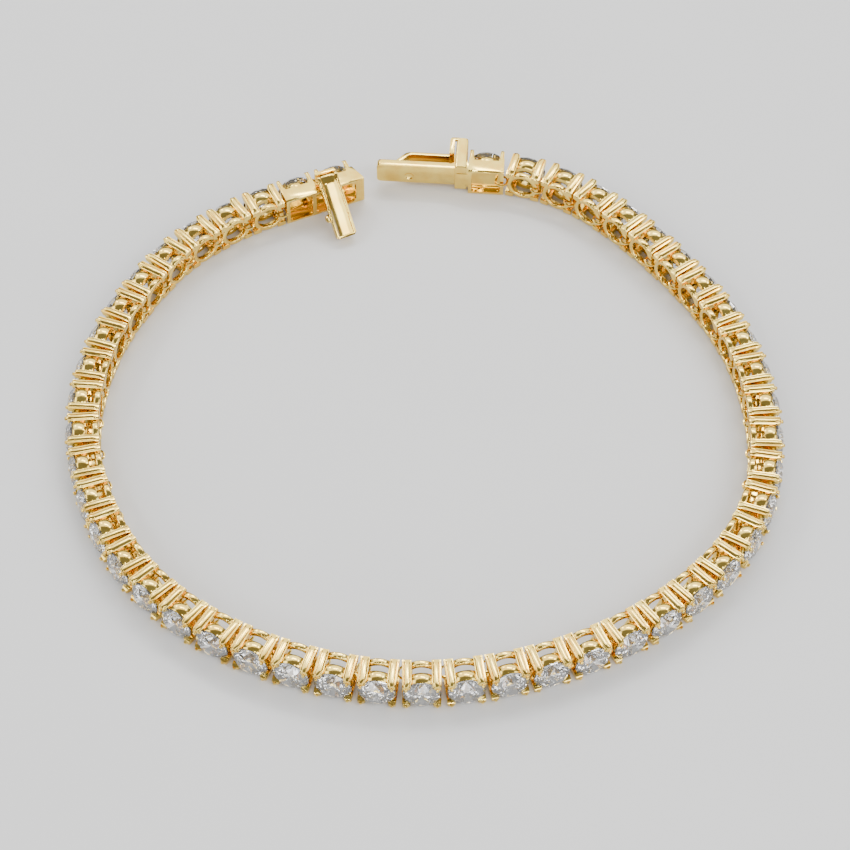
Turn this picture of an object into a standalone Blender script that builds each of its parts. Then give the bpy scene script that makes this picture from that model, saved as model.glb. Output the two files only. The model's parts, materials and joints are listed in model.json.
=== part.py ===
"""A four-prong tennis bracelet, lying on its edge with its box clasp open.

Metres, +Z up. The bracelet's wrist-side face looks inwards and its stones look outwards, all round.
Every link and clasp box has a frame of its own: its X runs along the bracelet towards the receiver,
its Y points outwards from the wrist, its Z points up, and Y is zero on the wrist-side face.
"""
import math

import bmesh
import bpy
from mathutils import Matrix, Vector

# Stones and the square settings that hold them
STONE_DIAMETER = 0.0033
STONE_MARGIN = 0.0001
SETTING_SIZE = STONE_DIAMETER + 2 * STONE_MARGIN
GIRDLE_HEIGHT = 0.0001
TABLE_SHARE = 0.57
CROWN_SHARE = 0.155
PAVILION_SHARE = 0.43
LINK_STONE_SIDES = 8
CLASP_STONE_SIDES = 8

# Links, measured outwards from the wrist-side face
LINK_COUNT = 45
LINK_GAP = 0.00019
PITCH = SETTING_SIZE + LINK_GAP
BAR_WIDTH = 0.00085
BAR_HEIGHT = 0.0007
RING_INSET = 0.0001
RING_WALL = 0.0005
BASE_DEPTH = 0.00075
RING_SPACING = 0.00065
SEAT_DEPTH = 0.0012
SEAT_INSET = 0.00005
CLAW_START = 0.00035
CLAW_RISE = 0.0007
CLAW_REACH = 0.00032
CLAW_TIP = 0.0004
RING_SIDES = 8

# Hinge loops, each going round the wall of its neighbour
LOOP_WIRE = 0.00024
LOOP_SIDES = 5
LOOP_INNER_PLAY = 0.00018
LOOP_OUTER_PLAY = 0.0001
LOOP_END_PLAY = 0.00015
LOOP_SINK = 0.00002
LOOP_SLOT_HEIGHT = 0.00072
LOOP_SLOT_DEPTH = 0.0006

# Clasp boxes
BOX_DEPTH = 0.0019
BOX_WALL = 0.00035
BOX_BACK = 0.00025
BOX_EDGE = 0.00015
WINDOW_FRAME = 0.00035
WINDOW_CORNER = 0.0004
STONE_PLAY = 0.00008
RECEIVER_TURN = math.radians(2.0)
END_TURN = math.radians(12.5)

# Receiver, from its chain end
RECEIVER_LENGTH = 0.0085
RECEIVER_STONE_SPACING = 0.0041
DIVIDER_FROM_CHAIN = 0.0031
DIVIDER_WIDTH = 0.0004
MOUTH_SLANT = 0.0006
MOUTH_FRAME = 0.0009
WAIST_DEPTH = 0.00025
WAIST_WIDTH = 0.0006

# Safety bar and its bracket
SAFETY_LENGTH = 0.00625
SAFETY_WIDTH = 0.0021
SAFETY_THICKNESS = 0.00078
SAFETY_UNDER = 0.00025
SAFETY_SKIN = 0.0003
SAFETY_CHEEK = 0.00028
SAFETY_EYE = 0.00032
EYE_POINTS = 5
SAFETY_CORNER = 0.0003
SAFETY_LEAN = math.radians(38.0)
SAFETY_FROM_CHAIN = 0.0037
PIN_SIDES = 8
PIN_DIAMETER = 0.0003
PIN_PLAY = 0.00006
PIN_HEAD = 0.00008
PIN_RISE = 0.0009
PIN_FROM_FACE = 0.0006
KNUCKLE_PLAY = 0.00012
KNUCKLE_REACH = 0.00026
FLANGE_PLAY = 0.00045
FLANGE_DEPTH = 0.0004
FLANGE_RISE = 0.00125
CLIP_FROM_PIN = 0.0044
CLIP_LENGTH = 0.0009
CLIP_DROP = 0.00022
CLIP_PROUD = 0.0004

# End box, tongue and thumb plate, from the chain
END_LENGTH = 0.0036
TONGUE_LENGTH = 0.0073
TONGUE_FACE = 0.00055
TONGUE_LEAF = 0.00085
TONGUE_SPRING = 0.0004
TONGUE_OPENING = 0.0009
TONGUE_BEND = 0.0018
TONGUE_RAMP = 0.0015
TONGUE_TOP = 0.00305
TONGUE_FOOT = 0.0007
SPRING_INSET = 0.0001
DIMPLE_DIAMETER = 0.001
DIMPLE_DEPTH = 0.0002
DIMPLE_FLOOR = 0.5
DIMPLE_LEVEL = 0.0016
DIMPLE_FROM_TIP = 0.0033
DIMPLE_SIDES = 10
THUMB_WIDTH = 0.00185
THUMB_REACH = 0.0044
THUMB_TOP = 0.0036
THUMB_GAP = 0.0002
THUMB_LEAF = 0.00045
THUMB_GROOVE = 0.0002
THUMB_FOOT = 0.0003
THUMB_BLOCK_FACE = 0.0004
THUMB_BRIDGE = 0.0003
NECK_HALF_HEIGHT = 0.0008

# The bracelet's plan on the table: the line of the links' wrist-side faces, chosen by hand
ROUTE = (
    (-0.0138, 0.0244), (-0.0186, 0.0219), (-0.0244, 0.0165), (-0.0297, 0.0059), (-0.0304, -0.0061),
    (-0.0250, -0.0187), (-0.0140, -0.0269), (0.0006, -0.0299), (0.0159, -0.0258), (0.0275, -0.0160),
    (0.0309, -0.0036), (0.0274, 0.0107), (0.0152, 0.0254), (0.0022, 0.0298),
)
ROUTE_STEPS = 24

# Places that follow from the sizes above
HALF = SETTING_SIZE / 2
SEAT_IN = BASE_DEPTH + RING_SPACING
GIRDLE_LOW = SEAT_IN + SEAT_DEPTH
GIRDLE_HIGH = GIRDLE_LOW + GIRDLE_HEIGHT
TABLE_OUT = GIRDLE_HIGH + CROWN_SHARE * STONE_DIAMETER
CULET = GIRDLE_LOW - PAVILION_SHARE * STONE_DIAMETER
CLAW_OUT = GIRDLE_HIGH + CLAW_RISE
RING_OUTER = HALF - RING_INSET
RING_INNER = RING_OUTER - RING_WALL

# Corners this close are one corner, and faces this nearly level are one face
MERGE_DISTANCE = 1e-6
FLAT_ANGLE = math.radians(0.05)

GOLD = ("yellow_gold", (0.86, 0.62, 0.26, 1.0), 0.16, 1.0)
DIAMOND = ("diamond", (0.93, 0.93, 0.95, 1.0), 0.02, 0.0)


def clear_scene():
    """Remove whatever objects the file holds."""
    for thing in list(bpy.data.objects):
        bpy.data.objects.remove(thing, do_unlink=True)


def make_material(name, colour, roughness, metallic):
    """A plain Principled material."""
    material = bpy.data.materials.new(name)
    material.use_nodes = True
    shader = material.node_tree.nodes["Principled BSDF"]
    shader.inputs["Base Color"].default_value = colour
    shader.inputs["Roughness"].default_value = roughness
    shader.inputs["Metallic"].default_value = metallic
    return material


def finish_shape(shape):
    """Turn a bmesh into an object whose faces point outwards."""
    bmesh.ops.recalc_face_normals(shape, faces=shape.faces)
    mesh = bpy.data.meshes.new("shape")
    shape.to_mesh(mesh)
    shape.free()
    piece = bpy.data.objects.new("shape", mesh)
    bpy.context.scene.collection.objects.link(piece)
    return piece


def loft(sections, closed=False):
    """Skin a row of equal-sided sections, capping both ends unless the row is closed."""
    shape = bmesh.new()
    rows = [[shape.verts.new(point) for point in section] for section in sections]
    count = len(rows[0])
    pairs = list(zip(rows, rows[1:]))
    if closed:
        pairs.append((rows[-1], rows[0]))
    for first, second in pairs:
        for side in range(count):
            after = (side + 1) % count
            shape.faces.new((first[side], first[after], second[after], second[side]))
    if not closed:
        shape.faces.new(list(reversed(rows[0])))
        shape.faces.new(rows[-1])
    return finish_shape(shape)


def block(x_range, y_range, z_range):
    """A straight-sided block."""
    sections = []
    for x in x_range:
        sections.append([(x, y_range[0], z_range[0]), (x, y_range[1], z_range[0]),
                         (x, y_range[1], z_range[1]), (x, y_range[0], z_range[1])])
    return loft(sections)


def prism(outline, low, high, axis="Z"):
    """Extrude an outline of pairs from low to high along one axis."""
    def corner(pair, level):
        if axis == "X":
            return (level, pair[0], pair[1])
        if axis == "Y":
            return (pair[0], level, pair[1])
        return (pair[0], pair[1], level)
    return loft([[corner(pair, level) for pair in outline] for level in (low, high)])


def turned(profile, centre, sides):
    """Turn a profile of (radius, depth) pairs round an axis along Y through centre (x, z)."""
    shape = bmesh.new()
    rows = []
    for radius, depth in profile:
        if radius == 0.0:
            rows.append([shape.verts.new((centre[0], depth, centre[1]))])
            continue
        row = []
        for side in range(sides):
            angle = 2 * math.pi * side / sides
            x = centre[0] + radius * math.cos(angle)
            z = centre[1] + radius * math.sin(angle)
            row.append(shape.verts.new((x, depth, z)))
        rows.append(row)
    for first, second in zip(rows, rows[1:]):
        for side in range(sides):
            after = (side + 1) % sides
            corners = [first[side % len(first)], first[after % len(first)],
                       second[after % len(second)], second[side % len(second)]]
            shape.faces.new(list(dict.fromkeys(corners)))
    for row in (rows[0], rows[-1]):
        if len(row) > 1:
            shape.faces.new(row)
    return finish_shape(shape)


def ring(outer, inner, near, far, centre, sides):
    """A flat-sided ring round an axis along Y."""
    sections = []
    for side in range(sides):
        angle = 2 * math.pi * side / sides
        section = []
        for radius, depth in ((outer, near), (outer, far), (inner, far), (inner, near)):
            x = centre[0] + radius * math.cos(angle)
            z = centre[1] + radius * math.sin(angle)
            section.append((x, depth, z))
        sections.append(section)
    return loft(sections, closed=True)


def wire_frame(corners, level, diameter, sides):
    """A closed wire that lies flat at one level and turns at its corners."""
    points = [Vector((x, y, level)) for x, y in corners]
    sections = []
    for index, point in enumerate(points):
        before = (point - points[index - 1]).normalized()
        after = (points[(index + 1) % len(points)] - point).normalized()
        miter = (after - before).normalized()
        stretch = 1 / abs(miter.cross(before).z)
        section = []
        for side in range(sides):
            angle = math.pi / 2 + 2 * math.pi * side / sides
            across = miter * math.cos(angle) * stretch
            section.append(point + (across + Vector((0, 0, math.sin(angle)))) * diameter / 2)
        sections.append(section)
    return loft(sections, closed=True)


def collect(name, pieces):
    """Put helper shapes in a collection for a Boolean."""
    group = bpy.data.collections.new(name)
    for piece in pieces:
        group.objects.link(piece)
    return group


def fuse(name, solids, cuts=()):
    """Join solids into one closed mesh, then take the cuts out of it."""
    body = solids[0]
    steps = (("UNION", solids[1:]), ("DIFFERENCE", list(cuts)))
    groups = []
    for operation, pieces in steps:
        if not pieces:
            continue
        group = collect(operation, pieces)
        groups.append(group)
        step = body.modifiers.new(operation, "BOOLEAN")
        step.operation = operation
        step.operand_type = "COLLECTION"
        step.collection = group
        step.solver = "EXACT"
    depsgraph = bpy.context.evaluated_depsgraph_get()
    mesh = bpy.data.meshes.new_from_object(body.evaluated_get(depsgraph), depsgraph=depsgraph)
    mesh.name = name
    for piece in list(solids) + list(cuts):
        bpy.data.objects.remove(piece, do_unlink=True)
    for group in groups:
        bpy.data.collections.remove(group)
    tidy = bmesh.new()
    tidy.from_mesh(mesh)
    bmesh.ops.remove_doubles(tidy, verts=tidy.verts, dist=MERGE_DISTANCE)
    bmesh.ops.dissolve_limit(tidy, angle_limit=FLAT_ANGLE, verts=tidy.verts, edges=tidy.edges)
    bmesh.ops.triangulate(tidy, faces=tidy.faces)
    tidy.to_mesh(mesh)
    tidy.free()
    return mesh


def place(name, mesh, frame, material):
    """Put a named sub-part in its frame."""
    piece = bpy.data.objects.new(name, mesh)
    piece.matrix_world = frame
    bpy.context.scene.collection.objects.link(piece)
    mesh.materials.clear()
    mesh.materials.append(material)
    return piece


def smooth_route():
    """Points along a smooth curve through the route."""
    points = [Vector(point) for point in ROUTE]
    points.insert(0, 2 * points[0] - points[1])
    points.append(2 * points[-1] - points[-2])
    line = []
    for index in range(1, len(points) - 2):
        a, b, c, d = points[index - 1:index + 3]
        for step in range(ROUTE_STEPS):
            t = step / ROUTE_STEPS
            line.append(0.5 * (2 * b + (c - a) * t + (2 * a - 5 * b + 4 * c - d) * t ** 2
                               + (3 * b - a - 3 * c + d) * t ** 3))
    line.append(points[-2])
    return line


def walk_route():
    """Joints of the chain: points one pitch apart, each on the smooth route."""
    line = smooth_route()
    here = line[0]
    joints = [here]
    segment = 0
    while len(joints) <= LINK_COUNT:
        if segment == len(line) - 1:
            here = here + (line[-1] - line[-2]).normalized() * PITCH
            joints.append(here)
            continue
        start = line[segment]
        end = line[segment + 1]
        if (end - here).length < PITCH:
            segment += 1
            continue
        run = end - start
        back = start - here
        half = back.dot(run)
        root = math.sqrt(half ** 2 - run.length_squared * (back.length_squared - PITCH ** 2))
        here = start + run * (root - half) / run.length_squared
        joints.append(here)
    return joints


def frame_at(point, angle):
    """A frame on the table, its X at an angle to the bracelet's X."""
    return Matrix.Translation((point.x, point.y, 0.0)) @ Matrix.Rotation(angle, 4, "Z")


def chain_frames(joints):
    """One frame for each link at the middle of its wrist-side face, and one for each clasp half."""
    frames = []
    angles = []
    for first, second in zip(joints, joints[1:]):
        back = first - second
        angles.append(math.atan2(back.y, back.x))
        frames.append(frame_at((first + second) / 2, angles[-1]))
    receiver = frame_at(joints[0], angles[0] - RECEIVER_TURN)
    end = frame_at(joints[-1], angles[-1] + END_TURN)
    return frames, receiver, end


def claw_bar(x_side, z_side):
    """A prong bar at one corner of a setting, bent over the stone at its end in a claw."""
    x_far = x_side * HALF
    x_near = x_side * (HALF - BAR_WIDTH)
    z_far = z_side * HALF
    z_near = z_side * (HALF - BAR_HEIGHT)
    shape = bmesh.new()
    bend = GIRDLE_HIGH + CLAW_START
    rows = []
    for depth in (0.0, bend):
        corners = ((x_near, z_near), (x_far, z_near), (x_far, z_far), (x_near, z_far))
        rows.append([shape.verts.new((x, depth, HALF + z)) for x, z in corners])
    lean = (x_near - x_side * CLAW_REACH / 2, z_near - z_side * CLAW_REACH / 2)
    tip = shape.verts.new((lean[0] + x_side * CLAW_TIP, CLAW_OUT, HALF + lean[1] + z_side * CLAW_TIP))
    root, far = rows
    shape.faces.new(root)
    for side in range(4):
        after = (side + 1) % 4
        shape.faces.new((root[side], root[after], far[after], far[side]))
        shape.faces.new((far[side], far[after], tip))
    return finish_shape(shape)


def claw_bars(centre_x=0.0, start=0.0, x_sides=(-1, 1)):
    """The four prong bars of a setting, cut short at their wrist side where a box carries them."""
    bars = []
    for x_side in x_sides:
        for z_side in (-1, 1):
            bar = claw_bar(x_side, z_side)
            for corner in bar.data.vertices:
                corner.co.x += centre_x
                corner.co.y = max(corner.co.y, start)
            bars.append(bar)
    return bars


def stone_profile(play=0.0):
    """A brilliant's outline from table to culet, as (radius, depth), grown all round by a play."""
    radius = STONE_DIAMETER / 2 + play
    return [(STONE_DIAMETER / 2 * TABLE_SHARE + play, TABLE_OUT + play), (radius, GIRDLE_HIGH + play / 2),
            (radius, GIRDLE_LOW - play / 2), (0.0, CULET - 2 * play)]


def hinge_loop(near, pivot, wall_far):
    """A wire loop that starts at a wall and goes round the next piece's wall, towards -X."""
    half = LOOP_WIRE / 2
    inner = -LOOP_INNER_PLAY - half
    outer = BASE_DEPTH + LOOP_OUTER_PLAY + half
    start = near - LOOP_SINK
    end = pivot - wall_far - LOOP_END_PLAY - half
    corners = ((start, inner), (start, outer), (end, outer), (end, inner))
    return wire_frame(corners, HALF, LOOP_WIRE, LOOP_SIDES)


def link_mesh():
    """One link: base ring, seat with its stone, prong bars and hinge loop."""
    centre = (0.0, HALF)
    seat_radius = STONE_DIAMETER / 2 - SEAT_INSET
    stone = turned([(STONE_DIAMETER / 2 * TABLE_SHARE, TABLE_OUT), (STONE_DIAMETER / 2, GIRDLE_HIGH),
                    (seat_radius, SEAT_IN), (0.0, CULET)], centre, LINK_STONE_SIDES)
    base = ring(RING_OUTER, RING_INNER, 0.0, BASE_DEPTH, centre, RING_SIDES)
    loop = hinge_loop(-RING_OUTER, -PITCH / 2, PITCH / 2 - RING_INNER)
    return fuse("link", [stone, base, loop] + claw_bars())


def box_section(x_near, x_far, slant=0.0):
    """A clasp box as a solid: both its long wrist-side edges are chamfered, and its far end slants."""
    outline = ((0.0, BOX_EDGE), (BOX_EDGE, 0.0), (BOX_DEPTH, 0.0), (BOX_DEPTH, SETTING_SIZE),
               (BOX_EDGE, SETTING_SIZE), (0.0, SETTING_SIZE - BOX_EDGE))
    near = [(x_near, y, z) for y, z in outline]
    far = [(x_far - slant * y / BOX_DEPTH, y, z) for y, z in outline]
    return loft([near, far])


def box_hollow(x_near, x_far):
    """The space inside a clasp box."""
    return block((x_near, x_far), (BOX_WALL, BOX_DEPTH - BOX_BACK), (BOX_WALL, SETTING_SIZE - BOX_WALL))


def window(x_near, x_far, cut_near, cut_far):
    """A window through the wrist-side wall, with a corner cut at each end that asks for one."""
    low = WINDOW_FRAME
    high = SETTING_SIZE - WINDOW_FRAME
    outline = [(x_near + cut_near, low), (x_far - cut_far, low), (x_far, low + cut_far), (x_far, high - cut_far),
               (x_far - cut_far, high), (x_near + cut_near, high), (x_near, high - cut_near),
               (x_near, low + cut_near)]
    return prism(list(dict.fromkeys(outline)), -BOX_WALL, 2 * BOX_WALL, "Y")


def stone_space(x):
    """The room that a clasp stone takes up, with its play."""
    return turned(stone_profile(STONE_PLAY), (x, HALF), CLASP_STONE_SIDES)


def receiver_stones():
    """Where the receiver's stones sit along it."""
    first = LINK_GAP / 2 + HALF
    return first, first + RECEIVER_STONE_SPACING


def pin_place():
    """The safety pin's place across and above the receiver."""
    return PIN_FROM_FACE, SETTING_SIZE + PIN_RISE


def safety_span():
    """The safety bar's two sides, along the receiver."""
    return SAFETY_FROM_CHAIN, SAFETY_FROM_CHAIN + SAFETY_WIDTH


def round_bar(x_near, x_far, centre, radius, sides):
    """A round bar along X through (y, z)."""
    outline = []
    for side in range(sides):
        angle = 2 * math.pi * (side + 0.5) / sides
        outline.append((centre[0] + radius * math.cos(angle), centre[1] + radius * math.sin(angle)))
    return prism(outline, x_near, x_far, "X")


def safety_bracket():
    """The upright flange, the knuckle in front of it and the pin, all soldered to the receiver."""
    near, far = safety_span()
    pin_y, pin_z = pin_place()
    foot = SETTING_SIZE - BOX_WALL / 2
    back = pin_y + FLANGE_PLAY
    flange = block((near, far), (back, back + FLANGE_DEPTH), (foot, SETTING_SIZE + FLANGE_RISE))
    inset = SAFETY_CHEEK + KNUCKLE_PLAY
    knuckle = block((near + inset, far - inset), (pin_y - KNUCKLE_REACH, back + FLANGE_DEPTH / 2),
                    (foot, pin_z + KNUCKLE_REACH))
    pin = round_bar(near - PIN_HEAD, far + PIN_HEAD, (pin_y, pin_z), PIN_DIAMETER / 2, PIN_SIDES)
    return [flange, knuckle, pin]


def waist_cuts(x):
    """A notch across the top and the underside, between the receiver's two settings."""
    cuts = []
    for face, way in ((0.0, 1), (SETTING_SIZE, -1)):
        outline = ((x - WAIST_WIDTH / 2, face), (x, face + way * WAIST_DEPTH), (x + WAIST_WIDTH / 2, face),
                   (x, face - way * WAIST_DEPTH))
        cuts.append(prism(outline, -BOX_WALL, 2 * BOX_DEPTH, "Y"))
    return cuts


def receiver_mesh():
    """The two-stone box: hollow, open at its mouth, with windows, claws, bracket and hinge loop."""
    start = LINK_GAP / 2
    solids = [box_section(start, RECEIVER_LENGTH, MOUTH_SLANT)]
    cuts = [box_hollow(start + BOX_WALL, RECEIVER_LENGTH + BOX_WALL)]
    for x in receiver_stones():
        solids += claw_bars(x, BOX_DEPTH - BOX_BACK / 2)
        cuts.append(stone_space(x))
    solids += safety_bracket()
    solids.append(hinge_loop(start, 0.0, PITCH / 2 - RING_INNER))
    half_divider = DIVIDER_WIDTH / 2
    cuts.append(window(start + WINDOW_FRAME, DIVIDER_FROM_CHAIN - half_divider, 0.0, 0.0))
    cuts.append(window(DIVIDER_FROM_CHAIN + half_divider, RECEIVER_LENGTH - MOUTH_FRAME, 0.0, WINDOW_CORNER))
    cuts += waist_cuts(sum(receiver_stones()) / 2)
    return fuse("receiver", solids, cuts)


def clasp_stone_mesh(x):
    """A clasp stone in its box's frame."""
    return fuse("clasp_stone", [turned(stone_profile(), (x, HALF), CLASP_STONE_SIDES)])


def safety_bar_mesh():
    """The safety bar about its pin: X along the pin, Y from the pin to the tip, Z through the bar."""
    top = SAFETY_THICKNESS - SAFETY_UNDER
    skin_start = KNUCKLE_REACH + 2 * KNUCKLE_PLAY
    eye = []
    for step in range(EYE_POINTS):
        angle = math.pi / 2 + math.pi * step / (EYE_POINTS - 1)
        eye.append((SAFETY_EYE * math.cos(angle), SAFETY_EYE * math.sin(angle)))
    sections = []
    for x, short in ((0.0, SAFETY_CORNER), (SAFETY_CORNER, 0.0), (SAFETY_WIDTH - SAFETY_CORNER, 0.0),
                     (SAFETY_WIDTH, SAFETY_CORNER)):
        tip = SAFETY_LENGTH - short
        outline = eye + [(SAFETY_EYE, -SAFETY_UNDER), (tip, -SAFETY_UNDER), (tip, top), (skin_start, top)]
        sections.append([(x, y, z) for y, z in outline])
    solids = [loft(sections)]
    clip_low = -SAFETY_UNDER - CLIP_DROP
    solids.append(block((SAFETY_WIDTH - SAFETY_CHEEK, SAFETY_WIDTH + CLIP_PROUD),
                        (CLIP_FROM_PIN - CLIP_LENGTH, CLIP_FROM_PIN), (clip_low, SAFETY_UNDER - CLIP_DROP)))
    inside = (SAFETY_CHEEK, SAFETY_WIDTH - SAFETY_CHEEK)
    cuts = [block(inside, (-SAFETY_LENGTH, SAFETY_LENGTH - SAFETY_CHEEK), (-SAFETY_LENGTH, top - SAFETY_SKIN)),
            block(inside, (-SAFETY_LENGTH, skin_start), (-SAFETY_LENGTH, SAFETY_LENGTH)),
            round_bar(-SAFETY_WIDTH, 2 * SAFETY_WIDTH, (0.0, 0.0), PIN_DIAMETER / 2 + PIN_PLAY, PIN_SIDES)]
    return fuse("safety_bar", solids, cuts)


def tongue_solids(root):
    """The folded spring tongue, running to -X from the thumb plate at root."""
    tip = root - TONGUE_LENGTH
    base = root + THUMB_LEAF + THUMB_GROOVE + BOX_WALL
    far = TONGUE_FACE + TONGUE_LEAF
    blade = block((tip, base), (TONGUE_FACE, far), (TONGUE_FOOT, TONGUE_TOP))
    bend = tip + TONGUE_BEND
    level = far + TONGUE_OPENING
    spring = prism(((bend, far - TONGUE_SPRING), (bend + TONGUE_SPRING, far - TONGUE_SPRING),
                    (bend + TONGUE_RAMP, level), (root + THUMB_LEAF, level),
                    (root + THUMB_LEAF, level + TONGUE_SPRING), (bend + TONGUE_RAMP, level + TONGUE_SPRING),
                    (bend, far)),
                   TONGUE_FOOT + SPRING_INSET, TONGUE_TOP - SPRING_INSET)
    thumb_leaf = block((root, root + THUMB_LEAF), (level, THUMB_REACH), (TONGUE_FOOT, THUMB_TOP))
    across = (root + THUMB_LEAF / 2, root + THUMB_LEAF + 2 * THUMB_GROOVE)
    upper = block(across, (level + BOX_WALL, THUMB_REACH), (THUMB_TOP - THUMB_BRIDGE, THUMB_TOP))
    lower = block(across, (level + BOX_WALL, THUMB_REACH), (TONGUE_FOOT, TONGUE_FOOT + THUMB_BRIDGE))
    return [blade, spring, thumb_leaf, upper, lower]


def end_box_mesh():
    """The one-stone box, the neck, the thumb plate and the tongue, soldered into one."""
    start = -LINK_GAP / 2
    finish = start - END_LENGTH
    block_near = finish - THUMB_GAP
    root = block_near - THUMB_WIDTH
    block_far = root + THUMB_LEAF + THUMB_GROOVE
    middle = end_stone_place()
    solids = [box_section(start, finish)]
    solids += claw_bars(middle, BOX_DEPTH - BOX_BACK / 2)
    solids.append(block((block_far, block_near), (THUMB_BLOCK_FACE, THUMB_REACH), (THUMB_FOOT, THUMB_TOP)))
    solids.append(block((block_far + THUMB_GROOVE, finish + BOX_WALL / 2), (BOX_WALL, BOX_DEPTH - BOX_BACK / 2),
                        (HALF - NECK_HALF_HEIGHT, HALF + NECK_HALF_HEIGHT)))
    solids += tongue_solids(root)
    cuts = [box_hollow(start - BOX_WALL, finish + BOX_WALL), stone_space(middle)]
    cuts.append(window(start - WINDOW_FRAME, finish + WINDOW_FRAME, -WINDOW_CORNER, 0.0))
    slot_half = LOOP_SLOT_HEIGHT / 2
    cuts.append(block((start - 2 * BOX_WALL, start + BOX_WALL), (BASE_DEPTH, BASE_DEPTH + LOOP_SLOT_DEPTH),
                      (HALF - slot_half, HALF + slot_half)))
    dimple = turned([(DIMPLE_DIAMETER / 2 * DIMPLE_FLOOR, TONGUE_FACE + DIMPLE_DEPTH),
                     (DIMPLE_DIAMETER / 2, TONGUE_FACE), (DIMPLE_DIAMETER / 2, 0.0)],
                    (root - TONGUE_LENGTH + DIMPLE_FROM_TIP, DIMPLE_LEVEL), DIMPLE_SIDES)
    cuts.append(dimple)
    return fuse("end_box", solids, cuts)


def end_stone_place():
    """Where the end box's stone sits along it."""
    return -LINK_GAP / 2 - END_LENGTH / 2


def main():
    clear_scene()
    gold = make_material(*GOLD)
    diamond = make_material(*DIAMOND)
    joints = walk_route()
    frames, receiver_frame, end_frame = chain_frames(joints)
    link = link_mesh()
    for number, frame in enumerate(frames, 1):
        place(f"link_{number:02d}", link, frame, gold)
    place("receiver", receiver_mesh(), receiver_frame, gold)
    for number, x in enumerate(receiver_stones(), 1):
        place(f"receiver_stone_{number}", clasp_stone_mesh(x), receiver_frame, diamond)
    pin_y, pin_z = pin_place()
    hinge = Matrix.Translation((safety_span()[1], pin_y, pin_z)) @ Matrix.Rotation(SAFETY_LEAN, 4, "X")
    half_turn = Matrix.Rotation(math.pi, 4, "Z")
    swing = receiver_frame @ hinge @ half_turn
    place("safety_bar", safety_bar_mesh(), swing, gold)
    place("end_box", end_box_mesh(), end_frame, gold)
    place("end_stone", clasp_stone_mesh(end_stone_place()), end_frame, diamond)


main()
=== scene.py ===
"""The looks of a four-prong tennis bracelet, lying on its edge with its box clasp open.

Metres, +Z up, in the part's frame. Each link and clasp half has a frame of its own: X runs along the
bracelet towards the receiver, Y points outwards from the wrist, Z points up, and Y is zero on the
wrist-side face.
"""
import json
import math

import bmesh
import bpy
from mathutils import Matrix, Vector

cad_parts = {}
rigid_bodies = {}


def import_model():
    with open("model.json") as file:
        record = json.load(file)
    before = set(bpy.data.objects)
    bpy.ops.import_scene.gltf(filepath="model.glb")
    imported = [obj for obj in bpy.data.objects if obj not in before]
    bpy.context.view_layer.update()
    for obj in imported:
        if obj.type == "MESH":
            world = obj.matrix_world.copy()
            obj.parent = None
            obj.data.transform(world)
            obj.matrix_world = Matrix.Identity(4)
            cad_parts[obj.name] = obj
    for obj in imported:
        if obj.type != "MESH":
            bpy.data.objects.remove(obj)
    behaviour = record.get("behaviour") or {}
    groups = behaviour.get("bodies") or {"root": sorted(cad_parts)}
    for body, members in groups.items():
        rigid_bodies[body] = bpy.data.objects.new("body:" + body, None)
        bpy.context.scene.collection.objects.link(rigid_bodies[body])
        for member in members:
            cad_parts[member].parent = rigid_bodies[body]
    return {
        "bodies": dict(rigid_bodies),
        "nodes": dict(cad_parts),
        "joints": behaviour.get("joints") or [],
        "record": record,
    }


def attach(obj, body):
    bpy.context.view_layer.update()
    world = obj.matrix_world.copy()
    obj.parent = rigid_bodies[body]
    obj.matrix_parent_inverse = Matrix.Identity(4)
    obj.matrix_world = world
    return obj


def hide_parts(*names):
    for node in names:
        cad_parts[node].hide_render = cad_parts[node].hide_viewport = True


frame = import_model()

# Sizes of the chain, and how much the clasp halves turn away from it
STONE_DIAMETER = 0.0035
SETTING_SIZE = 0.0035
LINK_COUNT = 45
LINK_GAP = 0.00019
PITCH = SETTING_SIZE + LINK_GAP
HALF = SETTING_SIZE / 2
RECEIVER_TURN = math.radians(2.0)
END_TURN = math.radians(12.5)
ROUTE = (
    (-0.0138, 0.0244), (-0.0186, 0.0219), (-0.0244, 0.0165), (-0.0297, 0.0059), (-0.0304, -0.0061),
    (-0.0250, -0.0187), (-0.0140, -0.0269), (0.0006, -0.0299), (0.0159, -0.0258), (0.0275, -0.0160),
    (0.0309, -0.0036), (0.0274, 0.0107), (0.0152, 0.0254), (0.0022, 0.0298),
)
ROUTE_STEPS = 24

# Brilliant cut, as shares of the stone's diameter
TABLE_SHARE = 0.57
CROWN_SHARE = 0.155
PAVILION_SHARE = 0.40
GIRDLE_SHARE = 0.03
STAR_SHARE = 0.5
LOWER_HALF_SHARE = 0.77
GIRDLE_LOW = 0.0026

# Settings
BASE_RADIUS = 0.00165
BASE_WALL = 0.0005
BASE_DEPTH = 0.00075
RING_DEPTH = 0.00063
BASE_EDGE = 0.00018
SEAT_IN = 0.00136
SEAT_OUT = 0.0025
RING_SIDES = 44
WIRE_SIDES = 8
BAR_WIDTH = 0.00085
STRIP_DROP = 0.00016
STRIP_EDGE_SHARE = 0.03
WIRE = 0.00024
LOOP_CORNER = 0.0005
LOOP_LAP = 0.00002
LOOP_PLAY = 0.00015
LOOP_IN = 0.00018
LOOP_OUT = 0.0001
STONE_SPIN = math.radians(45)
STONE_SPIN_SEED = 7

# Clasp boxes
BOX_DEPTH = 0.0019
BOX_WALL = 0.00035
BOX_BACK = 0.00025
BOX_EDGE = 0.00015
WINDOW_FRAME = 0.00035
WINDOW_CORNER = 0.0003
HOLLOW_BACK = 0.00116
END_HOLLOW_BACK = 0.0007
NOTCH_START = 0.00158
NOTCH_HALF = 0.00125
SLIM = 0.5
CLASP_SEAT = 0.84
RIB_HALF = 0.00003
RIB_PROUD = 0.00002
RIB_ROOT = 0.00005
RIB_MARGIN = 0.0002

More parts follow.
